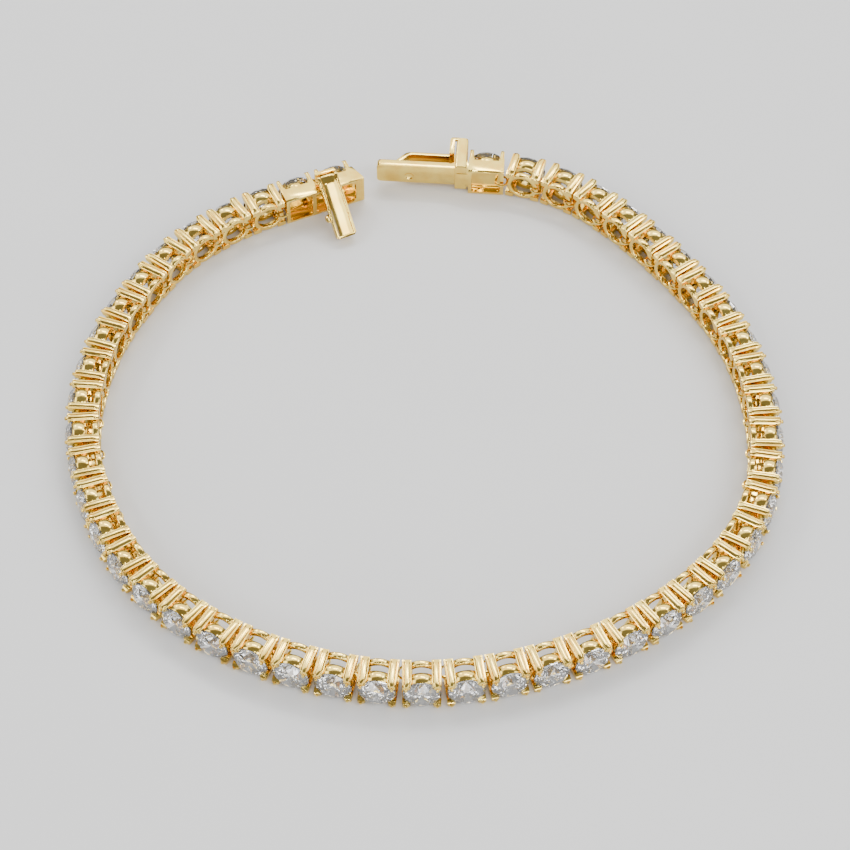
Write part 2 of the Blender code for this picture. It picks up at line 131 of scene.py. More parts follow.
# Receiver
RECEIVER_LENGTH = 0.0085
RECEIVER_STONES = (0.001845, 0.005945)
RECEIVER_WINDOWS = ((LINK_GAP / 2 + WINDOW_FRAME, 0.0029, 0.0003), (0.0033, 0.0076, 0.0005))
RECEIVER_WINDOW_DEPTH = 0.0007
RECEIVER_RIBS = (0.00775, 0.0080, 0.00825)
MOUTH_SLANT = 0.0006
NICK_HALF = 0.0003
NICK_DEPTH = 0.00025
FLANGE_NEAR = 0.00045
FLANGE_FAR = 0.00085
FLANGE_ROOT = 0.0002
FLANGE_TOP = 0.00475
KNUCKLE_RADIUS = 0.00024
KNUCKLE_FOOT = 0.00012
KNUCKLE_PLAY = 0.00012
PIN_Y = 0.0006
PIN_Z = 0.0044
PIN_RADIUS = 0.00015
PIN_TIP_RADIUS = 0.00012
PIN_TIP = 0.00008
PIN_SHOULDER = 0.00005

# Safety bar
SAFETY_NEAR = 0.0037
SAFETY_WIDTH = 0.0021
SAFETY_LENGTH = 0.00625
SAFETY_TOP = 0.00053
SAFETY_UNDER = 0.00025
SAFETY_LEAN = math.radians(38.0)
CHEEK = 0.00028
EYE = 0.0004
EYE_FOOT = 0.0003
PIN_BORE = 0.00018
TIP_WALL = 0.0003
FRAME_DROP = 0.00004
CLIP_PLACE = 0.00395
CLIP_RADIUS = 0.00045
CLIP_INSET = 0.00005
CLIP_ROOT = (0.0044, 0.0035)
CLIP_LEVELS = (-0.00047, 0.00003)
CURL_ANGLES = (160, 135, 110, 90)
CURL_OUT = 0.00041
CURL_IN = 0.00028
CURL_END = ((0.00025, 0.00047), (0.0002, 0.00027))
SKIN_START = 0.0005
SKIN_STEP = 0.000195
SKIN_ROWS = 29
SKIN_UNDER = 0.00025
WAVE_RISE = 0.000014
WAVE_LENGTH = 0.0027

# End box
END_LENGTH = 0.0036
END_STONE = -0.001895
END_WINDOW_CORNER = 0.0004
END_WINDOW_DEPTH = 0.0006
END_RIBS = (0.0001, 0.00025)
SLOT_LENGTH = 0.0007
SLOT_DEPTH = 0.0006
SLOT_HALF = 0.00036
NECK_HALF = 0.0008
NECK_LAP = (0.0002, 0.00017)

# Thumb plate, and the tongue with its spring leaf
THUMB_GAP = 0.0002
THUMB_LEVELS = (0.0003, 0.0036)
THUMB_NEAR = 0.0004
THUMB_REACH = 0.0044
THUMB_SETBACK = 0.00185
THUMB_SPACE = 0.00065
FLARE_LAP = 0.0001
FLARE_LEVELS = (0.0006, 0.0034)
BLADE_LENGTH = 0.0073
BLADE_NEAR = 0.00055
BLADE_FAR = 0.0014
BLADE_LEVELS = (0.0007, 0.00305)
BLADE_CORNER = 0.0004
BLADE_ROOT_CORNER = 0.00002
DIMPLE_PLACE = (0.0033, 0.0016)
SPRING_BEND = 0.0018
SPRING_RISE = 0.0009
SPRING_THICK = 0.0004
SPRING_LEVELS = (0.0008, 0.00295)
UPRIGHT_THICK = 0.00045
UPRIGHT_LEVELS = (0.0007, 0.0036)
UPRIGHT_CORNER = 0.0001
UPRIGHT_TOP_CORNER = 0.0003
BRIDGE_LAPS = (0.0002, 0.0003)
BRIDGE_DEPTHS = (0.0041, THUMB_REACH)
BRIDGE_LEVELS = (0.0033, 0.0036)
FOOT_NEAR = 0.00265
FOOT_TOP = 0.001

# How shapes are cleaned, rounded and shaded
EDGE_ROUND = 0.00005
MERGE_DISTANCE = 1e-6
FLAT_ANGLE = math.radians(0.5)
BEVEL_ANGLE = math.radians(28)
SHARP_ANGLE = math.radians(32)

# Finishes
GOLD_TONES = ((0.88, 0.58, 0.12, 1.0), (0.98, 0.74, 0.19, 1.0))
GOLD_STOPS = (0.35, 0.7)
GOLD_ROUGHNESS = (0.09, 0.19)
GOLD_PATCH_SCALE = 700.0
GOLD_PATCH_DETAIL = 3.0
GOLD_MARK_SCALE = 5200.0
GOLD_MARK_STRENGTH = 0.05
GOLD_MARK_DEPTH = 0.00002
DIAMOND_TONES = ((0.97, 0.97, 0.99, 1.0), (1.0, 0.99, 0.96, 1.0))
DIAMOND_TINT_SCALE = 400.0
DIAMOND_INDEX = 2.42
DIAMOND_CLEARNESS = 0.94
PAPER_TONES = ((0.76, 0.76, 0.76, 1.0), (0.80, 0.80, 0.795, 1.0))
PAPER_GRAIN_SCALE = 60.0
PAPER_ROUGHNESS = 0.6

# Stage
FLOOR_HALF = 1.5
FLOOR_THICKNESS = 0.01
WORLD_TONE = (0.80, 0.80, 0.79, 1.0)
WORLD_STRENGTH = 0.30
LENS_MM = 122.6
SENSOR_MM = 36.0
CLIP_START = 0.01
CAMERA_PLACE = (0.00018, -0.16947, 0.22105)
CAMERA_TILT = math.radians(37.3)

# Soft lights: name, place, size and power
SOFTBOXES = (
    ("back softbox", (0.0, 0.42, 0.45), (0.9, 0.5), 3.2),
    ("back strip", (0.06, 0.36, 0.50), (0.26, 0.05), 0.8),
    ("left softbox", (-0.50, 0.05, 0.32), (0.30, 0.45), 1.6),
    ("right softbox", (0.50, -0.05, 0.32), (0.30, 0.45), 1.3),
    ("front right softbox", (0.24, -0.24, 0.42), (0.22, 0.20), 0.9),
    ("low front softbox", (0.0, -0.55, 0.12), (0.6, 0.14), 1.3),
)

# Small lamps for the stones' sparkle: place and power
SPARKS = ((-0.20, 0.35, 0.30, 0.15), (0.25, 0.22, 0.40, 0.15), (-0.16, -0.30, 0.36, 0.20),
          (-0.02, -0.42, 0.26, 0.20), (0.16, -0.36, 0.20, 0.15), (-0.30, -0.18, 0.22, 0.12),
          (0.05, -0.20, 0.50, 0.15))
SPARK_SIZE = (0.04, 0.04)

# Profile of a seat ring round its axis: radius and depth
SEAT_PROFILE = (
    (0.00112, SEAT_IN), (0.00150, SEAT_IN), (0.00158, SEAT_IN + 0.00005), (0.00164, SEAT_IN + 0.00018),
    (0.00169, SEAT_IN + 0.0004), (0.00171, SEAT_IN + 0.0006), (0.00170, SEAT_IN + 0.0008),
    (0.00166, SEAT_OUT - 0.00012), (0.00162, SEAT_OUT - 0.00003), (0.00156, SEAT_OUT),
    (0.00150, SEAT_OUT), (0.00126, SEAT_OUT - 0.0004), (0.00108, SEAT_IN + 0.00006),
)

# Across a prong bar from its inner side: share of its width, then a share of the rib's rise
BAR_ACROSS = ((0.02, 0.0), (0.10, 0.0), (0.12, 0.1), (0.17, 0.60), (0.28, 0.90), (0.46, 1.0),
              (0.64, 0.90), (0.75, 0.60), (0.80, 0.1), (0.83, 0.1), (0.86, 0.35), (0.97, 0.30))

# Along a prong bar: depth, width, height, outer side and top from the setting's middle, rise of the rib
BAR_ALONG = (
    (0.0, 0.00080, 0.00062, 0.00172, 0.00169, 0.00002),
    (0.00005, 0.00085, 0.00070, 0.00175, 0.00175, 0.00002),
    (0.00020, 0.00085, 0.00070, 0.00175, 0.00175, 0.00004),
    (0.00042, 0.00085, 0.00070, 0.00175, 0.00175, 0.00012),
    (0.00060, 0.00085, 0.00070, 0.00175, 0.00175, 0.00016),
    (0.00240, 0.00085, 0.00070, 0.00175, 0.00175, 0.00016),
    (0.00285, 0.00074, 0.00058, 0.00175, 0.00175, 0.00014),
    (0.00298, 0.00064, 0.00048, 0.00172, 0.00171, 0.00011),
    (0.00303, 0.00042, 0.00033, 0.00163, 0.00160, 0.00007),
    (0.00304, 0.00023, 0.00023, 0.00154, 0.00145, 0.00005),
    (0.00310, 0.00028, 0.00027, 0.00156, 0.00147, 0.00005),
    (0.00319, 0.00028, 0.00027, 0.00155, 0.00145, 0.00005),
    (0.00326, 0.00021, 0.00020, 0.00150, 0.00140, 0.00003),
    (0.00329, 0.00010, 0.00010, 0.00145, 0.00135, 0.00002),
)

# Across the safety bar's face: place, and fall from its crown
SKIN_ACROSS = ((CHEEK - 0.00003, 0.00012), (0.00036, 0.00006), (0.0006, 0.00002), (0.00094, 0.0),
               (0.00128, 0.00001), (0.00155, 0.00003), (0.00172, 0.00008))

# Across the safety bar's tip, whose corners are rounded: place, and how much shorter the bar is there
TIP_ACROSS = ((0.0, 0.0003), (0.0001, 0.00012), (0.0003, 0.0), (SAFETY_WIDTH - 0.0003, 0.0),
              (SAFETY_WIDTH - 0.0001, 0.00012), (SAFETY_WIDTH, 0.0003))

# Outwards along the thumb plate's block: depth, share of its width, fall of its top
THUMB_ALONG = ((THUMB_NEAR, 0.94, 0.00006), (0.00046, 1.0, 0.0), (THUMB_REACH - 0.0003, 1.0, 0.0),
               (THUMB_REACH - 0.00014, 0.95, 0.0), (THUMB_REACH - 0.00004, 0.82, 0.0),
               (THUMB_REACH, 0.64, 0.00006))

# Across the block's crowned top: share of its half width, and fall from the crown
THUMB_ACROSS = ((1.0, 0.00018), (0.93, 0.00009), (0.75, 0.00003), (0.4, 0.0), (0.0, -0.00001),
                (-0.4, 0.0), (-0.75, 0.00003), (-0.93, 0.00009), (-1.0, 0.00018))

# Profile of the blade's dimple: radius and depth
DIMPLE_PROFILE = ((0.00018, 0.00075), (0.00034, 0.0007), (0.00045, 0.0006), (0.0005, 0.00055),
                  (0.0005, 0.0))


# The chain

def smooth_route():
    """Points along a smooth curve through the route."""
    points = [Vector(point) for point in ROUTE]
    points.insert(0, 2 * points[0] - points[1])
    points.append(2 * points[-1] - points[-2])
    line = []
    for index in range(1, len(points) - 2):
        a, b, c, d = points[index - 1:index + 3]
        for step in range(ROUTE_STEPS):
            t = step / ROUTE_STEPS
            line.append(0.5 * (2 * b + (c - a) * t + (2 * a - 5 * b + 4 * c - d) * t ** 2
                               + (3 * b - a - 3 * c + d) * t ** 3))
    line.append(points[-2])
    return line


def walk_route():
    """Joints of the chain: points one pitch apart, each on the smooth route."""
    line = smooth_route()
    here = line[0]
    joints = [here]
    segment = 0
    while len(joints) <= LINK_COUNT:
        if segment == len(line) - 1:
            here = here + (line[-1] - line[-2]).normalized() * PITCH
            joints.append(here)
            continue
        start = line[segment]
        end = line[segment + 1]
        if (end - here).length < PITCH:
            segment += 1
            continue
        run = end - start
        back = start - here
        half = back.dot(run)
        root = math.sqrt(half ** 2 - run.length_squared * (back.length_squared - PITCH ** 2))
        here = start + run * (root - half) / run.length_squared
        joints.append(here)
    return joints


def chain_places():
    """Each link's middle and turn, then the receiver's and the end box's."""
    joints = walk_route()
    links = []
    for first, second in zip(joints, joints[1:]):
        back = first - second
        links.append(((first + second) / 2, math.atan2(back.y, back.x)))
    receiver_place = (joints[0], links[0][1] - RECEIVER_TURN)
    end_place = (joints[-1], links[-1][1] + END_TURN)
    return links, receiver_place, end_place


def frame_at(place):
    """A frame on the table from a place and its turn."""
    point, turn = place
    return Matrix.Translation((point.x, point.y, 0.0)) @ Matrix.Rotation(turn, 4, "Z")


# Mesh helpers

def new_piece(name, mesh):
    """An object for a mesh, linked into the scene."""
    piece = bpy.data.objects.new(name, mesh)
    bpy.context.scene.collection.objects.link(piece)
    return piece


def to_object(shape, name="shape"):
    """Turn a bmesh into an object whose faces point outwards."""
    bmesh.ops.recalc_face_normals(shape, faces=shape.faces)
    mesh = bpy.data.meshes.new(name)
    shape.to_mesh(mesh)
    shape.free()
    return new_piece(name, mesh)


def loft(sections, closed=False):
    """Skin a row of equal-sided sections, capping both ends unless the row is closed."""
    shape = bmesh.new()
    rows = [[shape.verts.new(point) for point in section] for section in sections]
    count = len(rows[0])
    pairs = list(zip(rows, rows[1:]))
    if closed:
        pairs.append((rows[-1], rows[0]))
    for first, second in pairs:
        for side in range(count):
            after = (side + 1) % count
            shape.faces.new((first[side], first[after], second[after], second[side]))
    if not closed:
        shape.faces.new(list(reversed(rows[0])))
        shape.faces.new(rows[-1])
    return to_object(shape)


def block(x_range, y_range, z_range):
    """A straight-sided block."""
    sections = []
    for x in x_range:
        sections.append([(x, y_range[0], z_range[0]), (x, y_range[1], z_range[0]),
                         (x, y_range[1], z_range[1]), (x, y_range[0], z_range[1])])
    return loft(sections)


def prism(outline, low, high, axis="Z"):
    """Extrude an outline of pairs from low to high along Y or Z."""
    def corner(pair, level):
        if axis == "Y":
            return (pair[0], level, pair[1])
        return (pair[0], pair[1], level)
    return loft([[corner(pair, level) for pair in outline] for level in (low, high)])


def arc(centre, radius, first, last, steps):
    """Pairs along an arc, its angles in degrees."""
    pairs = []
    for step in range(steps + 1):
        angle = math.radians(first + (last - first) * step / steps)
        pairs.append((centre[0] + radius * math.cos(angle), centre[1] + radius * math.sin(angle)))
    return pairs


def round_outline(x_range, z_range, radii, steps=4):
    """A rectangle of pairs, its corners rounded by four radii from high x and high z round to low z."""
    right, left = max(x_range), min(x_range)
    high, low = max(z_range), min(z_range)
    outline = []
    corners = ((right, high, -1, -1), (left, high, 1, -1), (left, low, 1, 1), (right, low, -1, 1))
    for quarter, ((x, z, way_x, way_z), radius) in enumerate(zip(corners, radii)):
        centre = (x + way_x * radius, z + way_z * radius)
        outline += arc(centre, radius, 90 * quarter, 90 * quarter + 90, steps)
    return outline


def turned(profile, centre, sides, axis="Y"):
    """Turn a profile of (radius, depth) pairs round an axis along X or Y through centre."""
    shape = bmesh.new()
    rows = []
    for radius, depth in profile:
        row = []
        for side in range(sides if radius else 1):
            angle = 2 * math.pi * side / sides
            across = centre[0] + radius * math.cos(angle)
            up = centre[1] + radius * math.sin(angle)
            row.append(shape.verts.new((depth, across, up) if axis == "X" else (across, depth, up)))
        rows.append(row)
    for first, second in zip(rows, rows[1:]):
        for side in range(sides):
            after = (side + 1) % sides
            corners = [first[side % len(first)], first[after % len(first)],
                       second[after % len(second)], second[side % len(second)]]
            shape.faces.new(list(dict.fromkeys(corners)))
    for row in (rows[0], rows[-1]):
        if len(row) > 1:
            shape.faces.new(row)
    return to_object(shape)


def baked(thing, name):
    """The plain mesh that an object's modifiers make."""
    depsgraph = bpy.context.evaluated_depsgraph_get()
    mesh = bpy.data.meshes.new_from_object(thing.evaluated_get(depsgraph), depsgraph=depsgraph)
    mesh.name = name
    return mesh


def fuse(name, solids, cuts=()):
    """Join solids, take the cuts out, and round the edges."""
    body = solids[0]
    groups = []
    for operation, pieces in (("UNION", solids[1:]), ("DIFFERENCE", list(cuts))):
        if not pieces:
            continue
        group = bpy.data.collections.new(operation)
        for piece in pieces:
            group.objects.link(piece)
        groups.append(group)
        step = body.modifiers.new(operation, "BOOLEAN")
        step.operation = operation
        step.operand_type = "COLLECTION"
        step.collection = group
        step.solver = "EXACT"
    mesh = baked(body, name)
    for piece in list(solids) + list(cuts):
        bpy.data.objects.remove(piece, do_unlink=True)
    for group in groups:
        bpy.data.collections.remove(group)
    clean = bmesh.new()
    clean.from_mesh(mesh)
    bmesh.ops.remove_doubles(clean, verts=clean.verts, dist=MERGE_DISTANCE)
    bmesh.ops.dissolve_limit(clean, angle_limit=FLAT_ANGLE, verts=clean.verts, edges=clean.edges)
    clean.to_mesh(mesh)
    clean.free()
    piece = new_piece(name, mesh)
    bevel = piece.modifiers.new("edges", "BEVEL")
    bevel.width = EDGE_ROUND
    bevel.segments = 2
    bevel.limit_method = "ANGLE"
    bevel.angle_limit = BEVEL_ANGLE
    bevel.use_clamp_overlap = True
    mesh = baked(piece, name)
    piece.modifiers.clear()
    piece.data = mesh
    return piece


def smooth(piece):
    """Shade a piece smooth, with its sharper edges kept."""
    for face in piece.data.polygons:
        face.use_smooth = True
    piece.data.set_sharp_from_angle(angle=SHARP_ANGLE)
    return piece


def join(name, pieces):
    """Join helper shapes into one piece."""
    shape = bmesh.new()
    for piece in pieces:
        shape.from_mesh(piece.data)
        bpy.data.objects.remove(piece, do_unlink=True)
    mesh = bpy.data.meshes.new(name)
    shape.to_mesh(mesh)
    shape.free()
    return new_piece(name, mesh)


# Node trees that repeat a shape along the chain

def chain_points(places, level):
    """A mesh with a point for each place, and its turn as an attribute."""
    mesh = bpy.data.meshes.new("places")
    mesh.from_pydata([(point.x, point.y, level) for point, turn in places], [], [])
    turns = mesh.attributes.new("turn", "FLOAT", "POINT")
    for index, (point, turn) in enumerate(places):
        turns.data[index].value = turn
    return new_piece("places", mesh)


def start_tree(name, inputs):
    """A node tree with a named input for each size."""
    tree = bpy.data.node_groups.new(name, "GeometryNodeTree")
    tree.interface.new_socket("Geometry", in_out="INPUT", socket_type="NodeSocketGeometry")
    for label, kind in inputs:
        tree.interface.new_socket(label, in_out="INPUT", socket_type="NodeSocket" + kind)
    tree.interface.new_socket("Geometry", in_out="OUTPUT", socket_type="NodeSocketGeometry")
    return tree, tree.nodes.new("NodeGroupInput")


def repeat_shape(tree, entry, shape_socket, spin_seed=None):
    """Put a shape on every point by its turn, then realize it and give it its material."""
    link = tree.links.new
    turn = tree.nodes.new("GeometryNodeInputNamedAttribute")
    turn.data_type = "FLOAT"
    turn.inputs["Name"].default_value = "turn"
    angles = tree.nodes.new("ShaderNodeCombineXYZ")
    link(turn.outputs["Attribute"], angles.inputs["Z"])
    if spin_seed is not None:
        spin = tree.nodes.new("FunctionNodeRandomValue")
        spin.data_type = "FLOAT"
        spin.inputs[2].default_value = 0.0
        spin.inputs[3].default_value = STONE_SPIN
        spin.inputs["Seed"].default_value = spin_seed
        link(spin.outputs[1], angles.inputs["Y"])
    copies = tree.nodes.new("GeometryNodeInstanceOnPoints")
    link(entry.outputs["Geometry"], copies.inputs["Points"])
    link(shape_socket, copies.inputs["Instance"])
    link(angles.outputs[0], copies.inputs["Rotation"])
    real = tree.nodes.new("GeometryNodeRealizeInstances")
    link(copies.outputs[0], real.inputs[0])
    finish = tree.nodes.new("GeometryNodeSetMaterial")
    link(real.outputs[0], finish.inputs["Geometry"])
    link(entry.outputs["Material"], finish.inputs["Material"])
    exit_node = tree.nodes.new("NodeGroupOutput")
    link(finish.outputs[0], exit_node.inputs[0])


def run_tree(name, tree, places, values, level=0.0):
    """Run a tree over the places and keep its result as a plain piece."""
    carrier = chain_points(places, level)
    step = carrier.modifiers.new(name, "NODES")
    step.node_group = tree
    for item in tree.interface.items_tree:
        if item.in_out == "INPUT" and item.name in values:
            step[item.identifier] = values[item.name]
    mesh = baked(carrier, name)
    carrier.modifiers.clear()
    bpy.data.objects.remove(carrier, do_unlink=True)
    return new_piece(name, mesh)


def part_tree(name, spin_seed=None):
    """A tree that repeats one made part along the chain."""
    tree, entry = start_tree(name, (("Part", "Object"), ("Material", "Material")))
    part = tree.nodes.new("GeometryNodeObjectInfo")
    tree.links.new(entry.outputs["Part"], part.inputs["Object"])
    repeat_shape(tree, entry, part.outputs["Geometry"], spin_seed)
    return tree


def repeat_part(name, part, places, material, level=0.0, spin_seed=None):
    """Repeat one made part along the chain, and keep only the repeated piece."""
    piece = run_tree(name, part_tree(name, spin_seed), places, {"Part": part, "Material": material}, level)
    bpy.data.objects.remove(part, do_unlink=True)
    return piece


def round_frame(tree, entry, width_name, height_name, corners):
    """A rectangle curve whose corners are rounded, all from the tree's named inputs."""
    link = tree.links.new
    outline = tree.nodes.new("GeometryNodeCurvePrimitiveQuadrilateral")
    link(entry.outputs[width_name], outline.inputs["Width"])
    link(entry.outputs[height_name], outline.inputs["Height"])
    fillet = tree.nodes.new("GeometryNodeFilletCurve")
    fillet.mode = "POLY"
    fillet.inputs["Count"].default_value = corners
    link(outline.outputs[0], fillet.inputs["Curve"])
    link(entry.outputs["Corner Radius"], fillet.inputs["Radius"])
    return fillet.outputs[0]


def sweep_to_place(tree, entry, path, section, turn):
    """Sweep a section along a path, turn it upright and move it to its centre."""
    link = tree.links.new
    sweep = tree.nodes.new("GeometryNodeCurveToMesh")
    link(path, sweep.inputs["Curve"])
    link(section, sweep.inputs["Profile Curve"])
    move = tree.nodes.new("GeometryNodeTransform")
    link(sweep.outputs[0], move.inputs["Geometry"])
    link(entry.outputs["Centre"], move.inputs["Translation"])
    move.inputs["Rotation"].default_value = (turn, 0.0, 0.0)
    return move.outputs[0]


def ring_tree():
    """A tree that makes the wrist-side ring of a link from its sizes, along the chain."""
    tree, entry = start_tree("base rings", (("Radius", "Float"), ("Wall", "Float"), ("Depth", "Float"),
                                            ("Corner Radius", "Float"), ("Centre", "Vector"),
                                            ("Material", "Material")))
    circle = tree.nodes.new("GeometryNodeCurvePrimitiveCircle")
    circle.inputs["Resolution"].default_value = RING_SIDES
    tree.links.new(entry.outputs["Radius"], circle.inputs["Radius"])
    section = round_frame(tree, entry, "Wall", "Depth", corners=4)
    repeat_shape(tree, entry, sweep_to_place(tree, entry, circle.outputs["Curve"], section, math.pi / 2))
    return tree


def loop_tree():
    """A tree that bends the wire hinge loops from their sizes, along the chain."""
    tree, entry = start_tree("hinge loops", (("Length", "Float"), ("Depth", "Float"),
                                             ("Wire Radius", "Float"), ("Corner Radius", "Float"),
                                             ("Centre", "Vector"), ("Material", "Material")))
    section = tree.nodes.new("GeometryNodeCurvePrimitiveCircle")
    section.inputs["Resolution"].default_value = WIRE_SIDES
    tree.links.new(entry.outputs["Wire Radius"], section.inputs["Radius"])
    path = round_frame(tree, entry, "Length", "Depth", corners=5)
    repeat_shape(tree, entry, sweep_to_place(tree, entry, path, section.outputs["Curve"], 0.0))
    return tree


# The stones and the settings

def brilliant():
    """A round brilliant about its own axis, with its crown outwards along Y."""
    shape = bmesh.new()
    radius = STONE_DIAMETER / 2
    crown = CROWN_SHARE * STONE_DIAMETER
    depth = PAVILION_SHARE * STONE_DIAMETER
    low = GIRDLE_LOW
    high = GIRDLE_LOW + GIRDLE_SHARE * STONE_DIAMETER
    table = radius * TABLE_SHARE

    def point(angle, distance, level):
        return shape.verts.new((distance * math.cos(angle), level, distance * math.sin(angle)))

    step = math.pi / 4
    lean = math.cos(step / 2)
    star = table * lean + STAR_SHARE * (radius - table * lean)
    star_level = high + crown * (radius - star * lean) / (radius - table)
    lower = radius * (1 - LOWER_HALF_SHARE)
    lower_level = low - depth * (1 - lower * lean / radius)
    tables = [point(step * k, table, high + crown) for k in range(8)]
    stars = [point(step * (k + 0.5), star, star_level) for k in range(8)]
    tops = [point(step * k / 2, radius, high) for k in range(16)]
    bottoms = [point(step * k / 2, radius, low) for k in range(16)]
    lowers = [point(step * (k + 0.5), lower, lower_level) for k in range(8)]
    culet = point(0.0, 0.0, low - depth)
    shape.faces.new(tables)
    for k in range(8):
        after = (k + 1) % 8
        main = 2 * k
        side = 2 * k + 1
        next_main = (2 * k + 2) % 16
        shape.faces.new((tables[k], tables[after], stars[k]))
        shape.faces.new((tables[k], stars[k], tops[main], stars[k - 1]))
        shape.faces.new((stars[k], tops[side], tops[main]))
        shape.faces.new((stars[k], tops[next_main], tops[side]))
        shape.faces.new((tops[main], tops[side], bottoms[side], bottoms[main]))
        shape.faces.new((tops[side], tops[next_main], bottoms[next_main], bottoms[side]))
        shape.faces.new((bottoms[main], bottoms[side], lowers[k]))
        shape.faces.new((bottoms[side], bottoms[next_main], lowers[k]))
        shape.faces.new((culet, lowers[k - 1], bottoms[main], lowers[k]))
    return to_object(shape, "brilliant")


def claw_bar(x_side, z_side, start, slim):
    """A corner's prong bar: a rib between two thin strips, with a bead claw over the stone."""
    rows = []
    for depth, width, height, outer, top, rise in BAR_ALONG:
        width, height, rise = width * slim, height * slim, rise * slim
        if depth <= start and rows:
            rows.pop()
        depth = max(depth, start)
        inner = outer - width
        strip = top - STRIP_DROP * width / BAR_WIDTH
        strip_edge = strip - STRIP_EDGE_SHARE * width
        section = [(inner, top - height), (inner, strip_edge)]
        section += [(inner + across * width, strip + share * rise) for across, share in BAR_ACROSS]
        section += [(outer, strip_edge), (outer, top - height)]
        rows.append([(x_side * x, depth, HALF + z_side * z) for x, z in section])
    return loft(rows)


def claw_bars(centre=0.0, start=0.0, slim=1.0):
    """The four prong bars of a setting, slimmer where a clasp box carries them."""
    bars = []
    for x_side in (-1, 1):
        for z_side in (-1, 1):
            bar = claw_bar(x_side, z_side, start, slim)
            bar.data.transform(Matrix.Translation((centre, 0.0, 0.0)))
            bars.append(bar)
    return bars


def seat_ring(swell=1.0):
    """The ring under the stone: a barrel outside, opened out inside to the stone's pavilion."""
    sections = []
    for side in range(RING_SIDES):
        angle = 2 * math.pi * side / RING_SIDES
        sections.append([(radius * swell * math.cos(angle), depth, HALF + radius * swell * math.sin(angle))
                         for radius, depth in SEAT_PROFILE])
    return loft(sections, closed=True)


# The clasp

def box_section(x_near, x_far, slant=0.0):
    """A clasp box as a solid, with its long wrist-side edges chamfered and its far end slanted."""
    outline = ((0.0, BOX_EDGE), (BOX_EDGE, 0.0), (BOX_DEPTH, 0.0), (BOX_DEPTH, SETTING_SIZE),
               (BOX_EDGE, SETTING_SIZE), (0.0, SETTING_SIZE - BOX_EDGE))
    near = [(x_near, y, z) for y, z in outline]
    far = [(x_far - slant * y / BOX_DEPTH, y, z) for y, z in outline]
    return loft([near, far])


def box_hollow(x_near, x_far, back):
    """The space inside a clasp box, as far as its inner wall."""
    return block((x_near, x_far), (BOX_WALL, back), (BOX_WALL, SETTING_SIZE - BOX_WALL))


def clasp_seat(x):
    """The ring under a clasp stone, standing on its box."""
    seat = seat_ring(CLASP_SEAT)
    seat.data.transform(Matrix.Translation((x, 0.0, 0.0)))
    return seat


def stone_notch(x):
    """The cut that lets a clasp stone's seat into the back of its box."""
    return block((x - NOTCH_HALF, x + NOTCH_HALF), (NOTCH_START, 2 * BOX_DEPTH),
                 (-BOX_WALL, SETTING_SIZE + BOX_WALL))


def window(x_near, x_far, corner, depth):
    """The cut for a window, its two corners at high X rounded by a radius of their own."""
    outline = round_outline((x_near, x_far), (WINDOW_FRAME, SETTING_SIZE - WINDOW_FRAME),
                            (corner, WINDOW_CORNER, WINDOW_CORNER, corner))
    return prism(outline, -BOX_WALL, depth, "Y")


def face_ribs(places):
    """Thin upright ribs on the wrist-side face."""
    levels = (RIB_MARGIN, SETTING_SIZE - RIB_MARGIN)
    return [block((x - RIB_HALF, x + RIB_HALF), (-RIB_PROUD, RIB_ROOT), levels) for x in places]


def receiver():
    """The two-stone box with its windows, claws and the safety bar's flange, knuckle and pin."""
    start = LINK_GAP / 2
    far = SAFETY_NEAR + SAFETY_WIDTH
    inset = CHEEK + KNUCKLE_PLAY
    knuckle = (SAFETY_NEAR + inset, far - inset)
    solids = [box_section(start, RECEIVER_LENGTH, MOUTH_SLANT)]
    solids.append(block((SAFETY_NEAR, far), (PIN_Y + FLANGE_NEAR, PIN_Y + FLANGE_FAR),
                        (SETTING_SIZE - FLANGE_ROOT, FLANGE_TOP)))
    solids.append(block(knuckle, (PIN_Y - KNUCKLE_RADIUS, PIN_Y + KNUCKLE_FOOT),
                        (SETTING_SIZE - FLANGE_ROOT, PIN_Z)))
    cuts = [box_hollow(start + BOX_WALL, RECEIVER_LENGTH + BOX_WALL, HOLLOW_BACK)]
    cuts += [window(near, end, corner, RECEIVER_WINDOW_DEPTH) for near, end, corner in RECEIVER_WINDOWS]
    cuts += [stone_notch(x) for x in RECEIVER_STONES]
    middle = sum(RECEIVER_STONES) / 2
    for face, way in ((0.0, 1), (SETTING_SIZE, -1)):
        nick = ((middle - NICK_HALF, face), (middle, face + way * NICK_DEPTH), (middle + NICK_HALF, face),
                (middle, face - way * NICK_DEPTH))
        cuts.append(prism(nick, -BOX_WALL, 2 * BOX_DEPTH, "Y"))
    pieces = [fuse("receiver_body", solids, cuts)]
    for x in RECEIVER_STONES:
        pieces += claw_bars(x, NOTCH_START, SLIM)
        pieces.append(clasp_seat(x))
    pieces += face_ribs(RECEIVER_RIBS)
    pieces.append(turned([(KNUCKLE_RADIUS, x) for x in knuckle], (PIN_Y, PIN_Z), sides=24, axis="X"))
    pin = ((0.0, SAFETY_NEAR - PIN_TIP), (PIN_TIP_RADIUS, SAFETY_NEAR - PIN_TIP),
           (PIN_RADIUS, SAFETY_NEAR - PIN_SHOULDER), (PIN_RADIUS, far + PIN_SHOULDER),
           (PIN_TIP_RADIUS, far + PIN_TIP), (0.0, far + PIN_TIP))
    pieces.append(turned(pin, (PIN_Y, PIN_Z), sides=14, axis="X"))
    return join("receiver_box", pieces)


